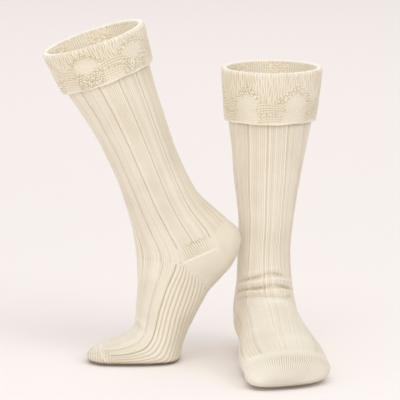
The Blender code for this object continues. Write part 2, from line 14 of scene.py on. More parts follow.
import bpy
import numpy as np
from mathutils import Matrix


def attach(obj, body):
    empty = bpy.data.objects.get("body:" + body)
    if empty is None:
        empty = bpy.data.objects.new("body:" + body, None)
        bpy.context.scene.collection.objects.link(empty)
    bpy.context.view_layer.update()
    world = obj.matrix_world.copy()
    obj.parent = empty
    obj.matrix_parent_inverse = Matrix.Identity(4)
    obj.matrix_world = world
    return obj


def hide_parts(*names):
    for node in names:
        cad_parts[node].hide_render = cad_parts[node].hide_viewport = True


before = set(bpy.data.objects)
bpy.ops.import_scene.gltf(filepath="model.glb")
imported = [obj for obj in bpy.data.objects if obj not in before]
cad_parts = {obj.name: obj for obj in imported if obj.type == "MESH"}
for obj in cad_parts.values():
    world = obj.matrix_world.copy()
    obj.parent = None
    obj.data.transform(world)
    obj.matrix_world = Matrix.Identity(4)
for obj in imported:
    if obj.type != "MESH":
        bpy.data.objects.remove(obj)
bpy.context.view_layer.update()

MM = 0.001
TURN = math.tau
# The part's origin over the middle of the floor, in metres
ORIGIN = (0.08299226, 0.00653407, 0.3385)

# Cloth, in millimetres
WALL = 2.5
SEAM = 0.05
FLAP_WALL = 2.6
FLAP_GAP = 2
FLAP_OUTSIDE = FLAP_GAP + FLAP_WALL
FOLD_RADIUS = (WALL + FLAP_OUTSIDE) / 2
FOLD_INNER_RADIUS = FLAP_GAP / 2
FOLD_MIDDLE = (FLAP_OUTSIDE - WALL) / 2
COLLAR_DEPTH = 4.7
LEG_START = 4.75
HEM_ROUNDING = 0.8

# Wales: twelve panels of ten wales round the leg; every tenth wale is sunk
PANELS = 12
WALES_TO_PANEL = 10
WALES = PANELS * WALES_TO_PANEL
COLUMNS_TO_WALE = 4
# Wale number of each column of the leg
LEG_WALES = np.arange(WALES * COLUMNS_TO_WALE) / COLUMNS_TO_WALE
WALE_HEIGHT = 0.34
GROOVE_DEPTH = 0.65
RAISED_WALE = 0.4
COURSE = 1.7
WALE_WIDTH = 2.1
# Rows inside the opening that show the reverse of the knitting, their spacing, and how many of them fade out
REVERSE_ROWS = 26
REVERSE_SPACING = 1.1
REVERSE_FADE_ROWS = 5
REVERSE_SEED = 9

# Foot: the leg's panels over the instep, narrow ribs round the sole
RIB_START = 0.87
INSTEP_END = 0.8
RIB_HALF_STEPS_TO_SIDE = 3
RIB_HALF_STEPS_TO_SOLE = 20
COLUMNS_TO_HALF_RIB = 4
RIB_DEPTH = 0.8
# Columns between the leg's panels and the ribs
PLAIN_COLUMNS = 10
# Heights above the floor between which the foot's relief grows to its full height
FLOOR_FADE = (2, 5)
# Rows above the ankle over which the leg's columns are drawn to its side point
SNAP_ROWS = 2
# Rows below the opening over which the panels are turned and warped by top_turn and top_warp
TOP_WARP_ROWS = 3.5

# Heel: columns from the sock's side to its back, rows, and the wales and height of the band above its gore
HEEL_COLUMNS = 120
HEEL_FIRST_STATIONS = (1.004, 1.012, 1.022)
HEEL_ROWS = 64
GORE_WALE = 2.8
GORE_BAND = 17.5

# Toe: the lines that run down it, and the lines that run round it
COLUMNS_TO_TOE_WALE = 6
TOE_COURSE = 3

# Cuff: pattern repeats, columns round, height of a row of the flap, steps of its fold
REPEATS = 6
RIBS_TO_REPEAT = 20
CUFF_COLUMNS = 720
CUFF_ROW = 0.9
FOLD_STEPS = 14
FOLD_INNER_STEPS = 5
# How far the pattern is let into the cloth towards the fold
PATTERN_LET_IN = 0.45
# Bobbles: size of the table of chances that repeats over them, and the seed of the cuff's
BOBBLE_ROWS, BOBBLE_COLUMNS = 64, 97
MOSS_SEED = 5

# Painted shade in a fold's hollow and painted light on its crest, as a sunk share for each millimetre of its height
FOLD_SHADE = 0.11
# How far the painted shadow of the cuff's hem darkens the leg above and below it, and the sunk share of painted
# shade on the plain inside
HEM_SHADOW = 3.5
INSIDE_SHADE = 0.4
# Sunk share above which the wool takes the painted contact shadow where the sole meets the floor, and its colour
CONTACT_SHADOW_START = 1.2
CONTACT_SHADOW_COLOUR = (0.16, 0.11, 0.05, 1)

# Material slots of the outer and inner faces, and places of rims and tips in wales and courses
OUTSIDE, INSIDE = 0, 1
RIM_PLACE = (0.5, 0)
TIP_PLACE = (0.5, 0.5)

# Steps for the slope of a surface: in rows and radians, and in rows alone
NUDGE = 0.004
ROW_STEP = 0.001

# Columns of a section: the front, side and back points as a and z, and then one number each
FRONT, SIDE, BACK = slice(0, 2), slice(2, 4), slice(4, 6)
HALF_WIDTH, SKEW, TILT, SHIFT, SOLE_POWER = range(6, 11)

TIPTOE_LEG = (
    (152.1, 359.5, 97.5, 377, 42.9, 394.4, 54, 0, -0.055, 0, 1),
    (126.4, 312.2, 79.8, 329.2, 33.1, 346.3, 47.6, 0, -0.03, 0, 1),
    (104.4, 278.6, 63.5, 293.6, 22.6, 308.6, 42.5, 0, 0, 0, 1),
    (85.8, 246.2, 48.7, 259.8, 11.6, 273.3, 39.5, 0, 0, 0, 1),
    (70.8, 213.2, 35.4, 227, 0, 240.9, 36, 0, 0, 0, 1),
    (59.2, 180.2, 23, 196, -12.2, 214.4, 32, 0, 0, 0, 1),
    (51.6, 150.8, 9.5, 160, -25.5, 193.2, 29.5, 0, 0, 0, 1),
    (47.6, 121.3, -5.8, 117.8, -55.7, 166.1, 30, 0, 0, 0, 1),
)
TIPTOE_HEEL = (
    (-69.6, 153.1),
    (-72.5, 142.5),
    (-70.2, 128.4),
    (-62.6, 111.9),
    (-52.2, 99),
)
TIPTOE_FOOT = (
    (47.6, 121.3, -5.8, 117.8, -39.4, 84.8, 30, 0, 0, 0, 1),
    (46.4, 89.5, 6, 86, -30.2, 70.1, 34, 0, 0, 0, 1),
    (48.1, 66, 14.8, 59, -18.6, 48.3, 36, 0, 0, 0, 1),
    (48.7, 48.3, 19, 41.5, -11, 33, 39, 0, 0, 0, 0.95),
    (51, 38.9, 23, 28.3, -5.2, 17.7, 42, 0, 0, 0, 0.9),
    (58, 31.8, 30, 18, -1.2, 1, 44.5, 0.02, 0, 1, 0.8),
    (68.4, 25.9, 43, 13, 15.1, -1.5, 46, 0.05, 0, 2, 0.75),
    (81.2, 21.2, 62, 10.5, 44, -1.5, 45, 0.1, 0, 3, 0.72),
    (86.4, 19.5, 78.2, 9.5, 68.4, -1.5, 42, 0.14, 0, 4, 0.72),
)
TIPTOE_TOE = (
    (104.5, 17, 104.6, 7, 104, -1, 24, 0.2, 0, 5, 0.72),
    (104.6, 7, 104.6, 7, 104.6, 7, 0, 0.2, 0, 6, 0.72),
)
STANDING_LEG = (
    (52, 338.5, -5, 338.5, -62, 338.5, 54, 0, 0, -10.2, 1),
    (44, 276, -6, 276, -56, 276, 47.6, 0, 0, -8.4, 1),
    (39, 244, -5, 244, -49, 244, 42.3, 0, 0, -6.8, 1),
    (36, 216, -4.5, 216, -45, 216, 38.9, 0, 0, -5.4, 1),
    (35, 188, -3.5, 188, -42, 188, 34.8, 0, 0, -4.2, 1),
    (34, 159, -3.5, 159, -41, 159, 31.2, 0, 0, -3.4, 1),
    (33, 131, -4.5, 126, -42.5, 131, 29.8, 0, 0, -1.8, 1),
    (36.5, 106, -4, 88, -49, 101, 31.2, 0, 0, -1.8, 1),
    (50, 84, -2, 47, -61, 68, 35.5, 0, 0, -2.5, 1),
)
STANDING_HEEL = (
    (-65.5, 45),
    (-66, 28),
    (-60, 9),
    (-48, 0),
    (-30, -1.5),
)
STANDING_FOOT = (
    (50, 84, -2, 47, -12, -1.5, 35.5, 0, 0, -2.5, 1),
    (64, 76, 22, 40, 8, -1.5, 36, 0, 0, -2.5, 0.85),
    (84, 66, 50, 34, 36, -1.5, 38.3, 0.02, 0, -2.5, 0.78),
    (106, 56, 80, 28, 66, -1.5, 44, 0.04, 0, -1.5, 0.74),
    (128, 45, 108, 22.5, 96, -1.5, 49, 0.07, 0, -1.5, 0.72),
    (150, 35, 140, 18, 130, -1.5, 49.5, 0.11, 0, -1.5, 0.72),
)
STANDING_TOE = (
    (196, 26, 198, 9, 196, -1, 60, 0.23, 0, 5, 0.72),
    (196, 9, 196, 9, 196, 9, 0, 0.23, 0, 8, 0.72),
)

# Ankle folds: height at the front, droop to the big-toe side and the other side, half the fold's height,
# how far it is raised, how far it reaches round to either side in degrees, and its waver
STANDING_FOLDS = (
    (108.5, 17, 3, 3.2, 0.7, 90, 34, 0.5),
    (102.5, 20, 4, 2.9, -2.4, 94, 36, 0.6),
    (96.8, 20, 9, 3.6, 1.9, 98, 72, 0.7),
    (90.5, 21, 12, 3, -3.1, 98, 66, 0.6),
    (86.2, 17, 11, 2.6, 1.4, 92, 62, 0.5),
    (81.6, 14, 8, 2.6, -1.9, 82, 50, 0.6),
    (76.5, 9, 6, 3, 0.7, 62, 44, 0.5),
)
TIPTOE_FOLDS = (
    (44, 5, 5, 3, -1.2, 62, 62, 1.2),
    (50.5, 4, 4, 3.2, 0.7, 58, 58, 1),
    (37, 3, 3, 2.6, 0.5, 50, 50, 0.8),
)

# Settings, for the tiptoe sock and for the standing one
SETTINGS = {
    "leg": (TIPTOE_LEG, STANDING_LEG),
    "heel": (TIPTOE_HEEL, STANDING_HEEL),
    "foot": (TIPTOE_FOOT, STANDING_FOOT),
    "toe": (TIPTOE_TOE, STANDING_TOE),
    "folds": (TIPTOE_FOLDS, STANDING_FOLDS),
    "cuff_depth": (48, 62),
    "place": ((-25.5, -25), (73.7, 0)),
    "forward_degrees": (180, -81),
    "mirrored": (False, True),
    "panel_turn": (0.007, -0.014),
    "panel_warp": (-0.0106, 0.016),
    "warp_centre": (0.25, 0),
    "top_turn": (0, 0.007),
    "top_warp": (0, -0.0264),
    "gore_degrees": (23.7, 8),
    "instep_lines": (0.65, 0.3),
    "rib_end": ((8.5, 11), (4, 34)),
    "toe_seam": (1, 0.2),
    "toe_lines_round": (True, False),
    "cuff_turn": (21 / 72, 2 / 72),
    "chart_lift": (0.17, 0),
    "hem_lift": (0, 2.4),
    "seed": (3, 8),
    "leg_spacing": (((0, 4), (0.9, 2.6), (5.4, 1.8), (6.2, 1.4)), ((0, 5), (0.9, 2.8), (6.2, 1.5), (6.7, 1))),
    "foot_spacing": (((0, 1.5), (2.4, 1.2), (5, 1.3)), ((0, 1), (0.6, 1.4))),
    "toe_columns": (288, 480),
}


def ramp(value, low, high):
    share = np.clip((value - low) / (high - low), 0, 1)
    return share * share * (3 - 2 * share)


def fade(value, low, high):
    return 1 - ramp(value, low, high)


def window(value, start, full, fading, end):
    """0 up to the start, 1 from full to fading, and 0 again from the end."""
    return ramp(value, start, full) * fade(value, fading, end)


def bell(value, middle, width):
    return np.exp(-((value - middle) / width) ** 2)


def wave(cycles):
    """1 at whole numbers and 0 half-way between them."""
    return 0.5 + 0.5 * np.cos(TURN * cycles)


def norm(vectors):
    return np.linalg.norm(vectors, axis=-1)


def steps(points, axis=0):
    """Distances between neighbours along one axis of a grid of points."""
    return norm(np.diff(points, axis=axis))


def distances(points, axis=0):
    """Distance gone along one axis of a grid of points."""
    gone = np.cumsum(steps(points, axis), axis=axis)
    return np.concatenate((np.zeros_like(gone.take([0], axis=axis)), gone), axis=axis)


class Curve:
    """A smooth curve through rows of numbers, read at row numbers that may lie between rows."""

    def __init__(self, rows, gaps):
        self.rows = rows
        self.gaps = gaps
        slopes = np.diff(rows, axis=0) / gaps[:, None]
        before = gaps[:-1, None]
        after = gaps[1:, None]
        middle = (slopes[:-1] * after + slopes[1:] * before) / (before + after)
        self.slopes = np.vstack((slopes[:1], middle, slopes[-1:]))

    def point(self, at):
        at = np.asarray(at, dtype=float)
        row = np.clip(at.astype(int), 0, len(self.gaps) - 1)
        t = (at - row)[..., None]
        gap = self.gaps[row][..., None]
        return (self.rows[row] * (2 * t ** 3 - 3 * t ** 2 + 1)
                + self.slopes[row] * gap * (t ** 3 - 2 * t ** 2 + t)
                + self.rows[row + 1] * (3 * t ** 2 - 2 * t ** 3)
                + self.slopes[row + 1] * gap * (t ** 3 - t ** 2))


class Sock:
    """The smooth surface through one sock's sections, and the place where it stands."""

    def __init__(self, settings):
        self.settings = settings
        leg, heel, foot = (np.array(settings[part], dtype=float) for part in ("leg", "heel", "foot"))
        self.leg_end = len(leg) - 1
        self.last_row = np.array([float(self.leg_end)])
        self.foot_end = len(foot) - 1
        self.heel_steps = len(heel) + 1
        body = np.vstack((leg, foot[1:]))
        body_gaps = steps(body[:, SIDE])
        self.body = Curve(body, body_gaps)
        heel_gaps = steps(np.vstack((leg[-1, BACK], heel, foot[0, BACK])))
        gaps = np.concatenate((body_gaps[:self.leg_end], heel_gaps, body_gaps[self.leg_end:]))
        self.backs = Curve(np.vstack((leg[:, BACK], heel, foot[:, BACK])), gaps)
        # Rows of the leg for each millimetre below its top
        self.millimetre = 1 / norm(self.leg(1)[SIDE] - self.leg(0)[SIDE])
        self.snapped_share = self.snapped_shares()
        turn = math.radians(settings["forward_degrees"])
        hand = -1 if settings["mirrored"] else 1
        self.axes = np.array((
            (math.cos(turn), math.sin(turn), 0),
            (-hand * math.sin(turn), hand * math.cos(turn), 0),
            (0, 0, 1),
        ))

    def __getitem__(self, key):
        return self.settings[key]

    def section(self, at, back):
        """Section with its back point from another row number than the rest."""
        section = self.body.point(at)
        section[..., BACK] = self.backs.point(back)
        return section

    def leg(self, at):
        return self.section(at, at)

    def foot(self, at):
        return self.section(self.leg_end + at, self.leg_end + self.heel_steps + at)

    def heel(self, share):
        section = self.section(np.full(share.shape, float(self.leg_end)), self.leg_end + self.heel_steps * share)
        section[..., SOLE_POWER] = 1
        return section

    def toe(self, share):
        seam = self.foot(float(self.foot_end))
        slope = (seam - self.foot(self.foot_end - ROW_STEP)) / ROW_STEP
        blunt, tip = (np.array(row, dtype=float) for row in self["toe"])
        reach = (tip[SIDE][0] - seam[SIDE][0]) / max(slope[SIDE][0], 1)
        start = seam + slope * reach / 3
        share = np.asarray(share, dtype=float)[..., None]
        rest = 1 - share
        section = (seam * rest ** 3 + start * 3 * rest ** 2 * share
                   + blunt * 3 * rest * share ** 2 + tip * share ** 3)
        section[..., SOLE_POWER] = seam[SOLE_POWER]
        return section

    def leg_turns(self, wales, at=None):
        """Share of the round from the front at wale numbers; wale 0 and every tenth one is a sunk line."""
        turn = (wales / WALES_TO_PANEL + 0.5) / PANELS + self["panel_turn"]
        turn = turn + self["panel_warp"] * np.sin(TURN * (turn - self["warp_centre"]))
        if at is not None:
            top = fade(at, 0, TOP_WARP_ROWS)[:, None]
            turn = turn + top * (self["top_turn"] + self["top_warp"] * np.sin(TURN * (turn - 0.025)))
        return turn % 1

    def front_share(self, at):
        """Share of the half round that lies before the side point, at rows of the leg."""
        front, back = (lengths[:, -1] for lengths in quarter_arcs(self.leg(at))[1])
        return front / (front + back)

    def snapped_shares(self):
        """The same share on each side of the ankle, moved to a column of the mesh."""
        natural = self.front_share(self.last_row)[0]
        side, half = side_and_half(self.leg_turns(LEG_WALES))
        return {sign: min(half[side == sign], key=lambda share: abs(share - natural)) for sign in (1, -1)}

    def leg_stations(self, at, side, half):
        """Stations of columns at each row: 0 to 1 from the front to the side point, 1 to 2 on to the back."""
        natural = self.front_share(at)[:, None]
        blend = ramp(at, self.leg_end - SNAP_ROWS, self.leg_end)[:, None]
        wanted = np.where(side == 1, self.snapped_share[1], self.snapped_share[-1])
        share = natural + (wanted - natural) * blend
        return np.where(half <= share, half / share, 1 + (half - share) / (1 - share))

    def leg_angles(self, at):
        """Angle of each of the leg's columns at each row."""
        side, half = side_and_half(self.leg_turns(LEG_WALES, at))
        return station_angles(self.leg(at), side, self.leg_stations(at, side, half))

    def fold_height(self, point, angle):
        total = np.zeros(point.shape[:-1])
        turned = (angle + math.pi) % TURN - math.pi
        for front_z, droop_inner, droop_outer, half_height, raised, inner, outer, waver in self["folds"]:
            share = np.abs(np.degrees(turned)) / np.where(turned > 0, inner, outer)
            droop = np.where(turned > 0, droop_inner, droop_outer)
            middle = front_z - droop * share ** 1.5 + waver * np.sin(turned * 4.3 + front_z)
            level = np.clip((point[..., 2] - middle) / half_height, -1, 1)
            strength = np.clip(1 - share ** 4, 0, 1) * (1 + 0.25 * np.sin(turned * 6.1 + 2 * front_z))
            total += raised * np.cos(level * math.pi / 2) ** 2 * strength
        return total

    def stage(self, points):
        """Points of the sock's own axes (forward, side, up) in the object's axes, in metres."""
        return (points @ self.axes + (*self["place"], 0)) * MM - ORIGIN


def outline(section, angle):
    """Points of sections at angles from the front (0) over the big-toe side (+) or the other side (-)."""
    cosine = np.cos(angle)
    sine = np.sin(angle)
    front = cosine >= 0
    power = np.where(front, 1, section[..., SOLE_POWER])
    end = np.where(front[..., None], section[..., FRONT], section[..., BACK])
    plane = section[..., SIDE] + (end - section[..., SIDE]) * (np.abs(cosine) ** power)[..., None]
    across = section[..., HALF_WIDTH] * np.sign(sine) * np.abs(sine) ** power
    return np.stack((
        plane[..., 0] + section[..., SKEW] * across,
        across + section[..., SHIFT],
        plane[..., 1] + section[..., TILT] * across,
    ), axis=-1)


def quarter_arcs(sections):
    """Angles, and lengths along the outline of each row, for the front quarter and the back quarter."""
    share = np.linspace(0, 1, 121)
    angles = (share * math.pi / 2, math.pi / 2 + share ** 2 * math.pi / 2)
    return angles, [distances(outline(sections[:, None, :], quarter), axis=1) for quarter in angles]


def side_and_half(turn):
    """Side of the sock, 1 for the big toe's, and share of the half round from the front."""
    return np.where(turn <= 0.5, 1, -1), np.where(turn <= 0.5, 2 * turn, 2 * (1 - turn))


def station_angles(sections, side, stations):
    """Angle of each station at each row, even along the outline in the front quarter and in the back quarter."""
    angles, lengths = quarter_arcs(sections)
    stations = np.broadcast_to(stations, (len(sections), stations.shape[-1]))
    side = np.broadcast_to(side, stations.shape)
    result = np.empty(stations.shape)
    for row, station in enumerate(stations):
        front = np.interp(station * lengths[0][row, -1], lengths[0][row], angles[0])
        back = np.interp((station - 1) * lengths[1][row, -1], lengths[1][row], angles[1])
        result[row] = side[row] * np.where(station <= 1, front, back)
    return result


def normals(surface, at, angle):
    around = outline(surface(at), angle + NUDGE) - outline(surface(at), angle - NUDGE)
    along = outline(surface(at + NUDGE), angle) - outline(surface(at - NUDGE), angle)
    direction = np.cross(along, around)
    return direction / np.maximum(norm(direction), 1e-12)[..., None]


def lay(surface, at, angle, first=0, last=0):
    """Points and outward directions of a grid, with its first and last row moved along the surface in millimetres."""
    rows = np.repeat(np.asarray(at, dtype=float)[:, None], angle.shape[1], axis=1)
    for index, distance in ((0, first), (-1, last)):
        if distance:
            here = rows[index]
            back = -math.copysign(ROW_STEP, distance)
            moved = outline(surface(here), angle[index]) - outline(surface(here + back), angle[index])
            rows[index] = here + distance / (norm(moved) / ROW_STEP)
    return outline(surface(rows), angle), normals(surface, rows, angle)


def row_places(surface, end, spacing, start=0):
    """Row numbers down a surface at the wanted spacings, given as (row number, millimetres) pairs."""
    samples = np.linspace(start, end, 1200)
    sections = surface(samples)
    speed = np.max([steps(sections[:, line]) for line in (SIDE, FRONT, BACK)], axis=0)
    wanted = np.interp(samples[:-1], [row for row, _ in spacing], [step for _, step in spacing])
    count = np.append(0, np.cumsum(speed / wanted))
    rows = max(int(round(count[-1])), 4)
    return np.interp(np.linspace(0, count[-1], rows + 1), count, samples)


def uneven(points):
    """Slow swell of hand-filled cloth, in millimetres, from the place alone, so that it runs on over a seam."""
    a, side, z = points[..., 0], points[..., 1], points[..., 2]
    return (0.3 * np.sin(a / 23 + z / 37 + 1.3) * np.sin(side / 17 - z / 29 + 0.4)
            + 0.16 * np.sin(z / 11.5 + a / 14 + 0.8) * np.sin(side / 12 + 2.1)
            + 0.07 * np.sin(z / 5.3 + side / 6.1) * np.sin(a / 6.7 - z / 7.9))


def add_object(name, data):
    added = bpy.data.objects.new(name, data)
    bpy.context.scene.collection.objects.link(added)
    return added


def fill(data, key, values, kind=np.float32):
    data.foreach_set(key, values.astype(kind).ravel())


class Shell:
    """Grids of points of one sock that become one closed piece."""

    def __init__(self, sock):
        self.sock = sock
        self.points = []
        self.sunk = []
        self.rings = []
        self.faces = []

    def add_points(self, points, sunk, lowest=0):
        """Numbers of new points, none of them below a height above the floor."""
        start = sum(len(group) for group in self.points)
        numbers = np.arange(start, start + points[..., 0].size).reshape(points.shape[:-1])
        raised = np.maximum(points, (-math.inf, -math.inf, lowest))
        self.points.append(self.sock.stage(raised).reshape(-1, 3))
        self.sunk.append(np.broadcast_to(sunk, numbers.shape).ravel())
        return numbers

    def mark(self, *rings):
        """Make the edges along rings of points sharp."""
        self.rings.extend(rings)

    def add_grid(self, numbers, places, closed=True, material=OUTSIDE):
        """Quads of a grid of point numbers; places have one more column than a closed grid."""
        if closed:
            numbers = np.concatenate((numbers, numbers[:, :1]), axis=1)
        corners = (np.s_[:-1, :-1], np.s_[1:, :-1], np.s_[1:, 1:], np.s_[:-1, 1:])
        faces = np.stack([numbers[corner] for corner in corners], axis=-1).reshape(-1, 4)
        corner_places = np.stack([places[corner] for corner in corners], axis=-2).reshape(-1, 4, 2)
        self.faces.append((faces, corner_places, material))

    def add_inside(self, points, sunk, places, closed=True):
        """The inner face of the wall, on its own points."""
        numbers = self.add_points(points, sunk, WALL)
        self.add_grid(numbers[::-1], places[::-1], closed, INSIDE)
        return numbers

    def add_triangles(self, faces, place, material, reverse):
        faces = faces[:, ::-1] if reverse else faces
        self.faces.append((faces, np.broadcast_to(place, (len(faces), 3, 2)), material))

    def add_strip(self, fine, coarse, reverse=False):
        """A rim between a closed ring and one with a whole share of its points."""
        ratio = len(fine) // len(coarse)
        first = np.stack((fine, np.repeat(coarse, ratio), np.roll(fine, -1)), axis=-1)
        second = np.stack((coarse, np.roll(coarse, -1), np.roll(fine[::ratio], -1)), axis=-1)
        self.add_triangles(np.concatenate((first, second)), RIM_PLACE, INSIDE, reverse)

    def add_rims(self, outer, inner):
        """Rims at both open ends of a tube."""
        self.add_strip(outer[0], inner[0], reverse=True)
        self.add_strip(outer[-1], inner[-1])
        self.mark(outer[0], outer[-1], inner[0], inner[-1])

    def add_tip(self, ring, tip, material, reverse=False):
        faces = np.stack((ring, np.full(len(ring), tip), np.roll(ring, -1)), axis=-1)
        self.add_triangles(faces, TIP_PLACE, material, reverse)

    def make(self, name, materials):
        points = np.concatenate(self.points)
        groups, group_places, slots = zip(*self.faces)
        volume = 0
        for group in groups:
            for second in range(1, group.shape[1] - 1):
                a, b, c = points[group[:, 0]], points[group[:, second]], points[group[:, second + 1]]
                volume += np.einsum("ij,ij->", a, np.cross(b, c))
        order = -1 if volume < 0 else 1
        counts = [len(group) for group in groups]
        sizes = np.repeat([group.shape[1] for group in groups], counts)
        loops = np.concatenate([group[:, ::order].ravel() for group in groups])
        mesh = bpy.data.meshes.new(name)
        mesh.vertices.add(len(points))
        fill(mesh.vertices, "co", points)
        mesh.loops.add(len(loops))
        fill(mesh.loops, "vertex_index", loops, np.int32)
        mesh.polygons.add(len(sizes))
        fill(mesh.polygons, "loop_start", np.cumsum(sizes) - sizes, np.int32)
        mesh.update(calc_edges=True)
        layer = mesh.uv_layers.new(name="wales_and_courses")
        fill(layer.data, "uv", np.concatenate([group[:, ::order].reshape(-1, 2) for group in group_places]))
        fill(mesh.polygons, "material_index", np.repeat(slots, counts), np.int32)
        # The sunk share, which the material turns into painted shade and painted highlight
        fill(mesh.attributes.new("hollow", "FLOAT", "POINT").data, "value", np.concatenate(self.sunk))
        # Edges of the marked rings are sharp
        ends = np.empty(len(mesh.edges) * 2, dtype=np.int32)
        mesh.edges.foreach_get("vertices", ends)
        ring = np.full(len(points), -1)
        for number, border in enumerate(self.rings):
            ring[border] = number
        first, second = ring[ends.reshape(-1, 2)].T
        mesh.shade_smooth()
        edge = mesh.attributes.get("sharp_edge") or mesh.attributes.new("sharp_edge", "BOOLEAN", "EDGE")
        fill(edge.data, "value", (first >= 0) & (first == second), bool)
        for material in materials:
            mesh.materials.append(material)
        mesh.update()
        return add_object(name, mesh)


def knit_places(wales, lengths):
    """Wale and course of each point of a closed grid, with its first column once more at the end."""
    courses = np.concatenate((lengths, lengths[:, :1]), axis=1) / COURSE
    return np.stack((np.broadcast_to(wales, courses.shape), courses), axis=-1)


def sheet_size(grid, closed=True):
    """Largest width, mean length and area of a grid of points, in metres."""
    if closed:
        grid = np.concatenate((grid, grid[:, :1]), axis=1)
    corner = grid[:-1, :-1]
    area = norm(np.cross(grid[1:, :-1] - corner, grid[:-1, 1:] - corner)).sum()
    return steps(grid, 1).sum(axis=1).max(), steps(grid).sum(axis=0).mean(), area


def bobbles(across, down, seed):
    """Staggered, uneven bobbles: 1 on a bobble's top and 0 between, at places counted in bobbles."""
    across, down = np.broadcast_arrays(across, down)
    row = np.floor(down).astype(int)
    shifted = across + 0.5 * (row % 2)
    column = np.floor(shifted).astype(int)
    table = np.random.default_rng(seed).random((BOBBLE_ROWS, BOBBLE_COLUMNS, 3))
    chance = table[row % BOBBLE_ROWS, column % BOBBLE_COLUMNS]
    dx = shifted - column - 0.5 - (chance[..., 0] - 0.5) * 0.5
    dy = down - row - 0.5 - (chance[..., 1] - 0.5) * 0.5
    return np.clip(1 - (dx * dx + dy * dy) * 3.6, 0, 1) * (0.65 + 0.35 * chance[..., 2])


def wale_relief(seed):
    """Height of the leg's wales, and how sunk they lie: uneven rounded wales, every tenth one sunk."""
    nearest = np.round(LEG_WALES)
    within = (2 * (LEG_WALES - nearest)) ** 2
    place = nearest % WALES_TO_PANEL
    raised, tone = np.random.default_rng(seed).random((WALES + 1, 2))[(nearest % WALES).astype(int)].T
    rounded = WALE_HEIGHT * (0.6 + 0.9 * raised) * (1 - within) + 0.18 * (tone - 0.5)
    from_line = np.abs((LEG_WALES + WALES_TO_PANEL / 2) % WALES_TO_PANEL - WALES_TO_PANEL / 2)
    groove = fade(from_line, 0.15, 0.6)
    beside = np.where((place == 1) | (place == WALES_TO_PANEL - 1), 1 - within * 0.8, 0)
    beside = beside * np.where((place == 1) == (nearest > WALES / 2), 1, 0.3)
    between = 0.5 * within * (1 - beside) + 0.3 * (0.5 - tone) - 0.2 * beside
    # Sunk share: painted shade between wales and in the sunk lines, painted highlight beside them, random tone
    sunk = 0.46 * groove + (1 - groove) * between
    return rounded * (1 - groove) - GROOVE_DEPTH * groove + RAISED_WALE * beside, sunk


def reverse_relief(wale, down):
    """Relief of the reverse of the cuff's knitting inside the opening, and how sunk it lies."""
    bump = bobbles(wale * 0.8, down / 3, REVERSE_SEED)
    patch = ramp(np.sin(wale * 0.31 + 1.1) + 0.6 * np.sin(down * 0.35 + wale * 0.11), -0.4, 0.4)
    rib = wave(wale) * (0.8 + 0.2 * np.cos(down * 2.4 + wale * 1.3))
    top = patch * bump + (1 - patch) * rib
    # Sunk share: painted shade in the gaps, a painted highlight on the tops
    return -1.2 * (1 - top), 1.25 * (1 - top) - 0.25


def heel_turn(sock, base):
    """The heel's turn, run over leg and heel alike: relief, sunk share, and cover of the leg's own wales.

    A raised gore runs back from the ankle's side point. Above it lie strong fine wales up to a jagged edge, and
    behind them the knitting is plain.
    """
    turn = math.radians(sock["gore_degrees"])
    a, z = np.moveaxis(base[..., ::2] - sock.leg(float(sock.leg_end))[SIDE], -1, 0)
    along = z * math.sin(turn) - a * math.cos(turn)
    above = z * math.cos(turn) + a * math.sin(turn)
    gore = bell(above, 0.5 * np.sin(along / 8), 1.1) * window(along, 0, 4, 34, 50)
    wale = (along + 0.157 * above + 0.3 * np.sin(above / 3)) / GORE_WALE
    crest = wave(wale)
    beads = 0.75 + 0.25 * np.cos(TURN * above / 2.6 + 2 * np.sin(wale * 2.3))
    edge = GORE_BAND + 1.5 * np.sin(along * 0.9) * np.sin(along * 0.23 + 1)
    ends = window(along, -5, 3, 26, 50 - 0.25 * above)
    band = window(above, 1.6, 3.2, edge - 0.7, edge + 0.7) * ends
    plain = ramp(along, 43, 50) * fade(above, GORE_BAND + 0.5, GORE_BAND + 4)
    dots = bell(above, edge, 1.1) * ramp(along, 8, 16) * ends * (1 - crest)
    strength = ramp(along, -4, 14) * 0.6 + 0.4
    relief = band * strength * (0.85 * crest * beads - 0.2) + 0.65 * gore - 0.4 * dots
    # Sunk share: painted shade between wales, in the dots and on plain knitting; painted highlight on crests and gore
    sunk = band * strength * (1.05 * (1 - crest * beads) - 0.4) - 0.25 * gore + 0.9 * dots + 0.16 * plain
    return relief, sunk, np.clip(band + plain + gore, 0, 1)


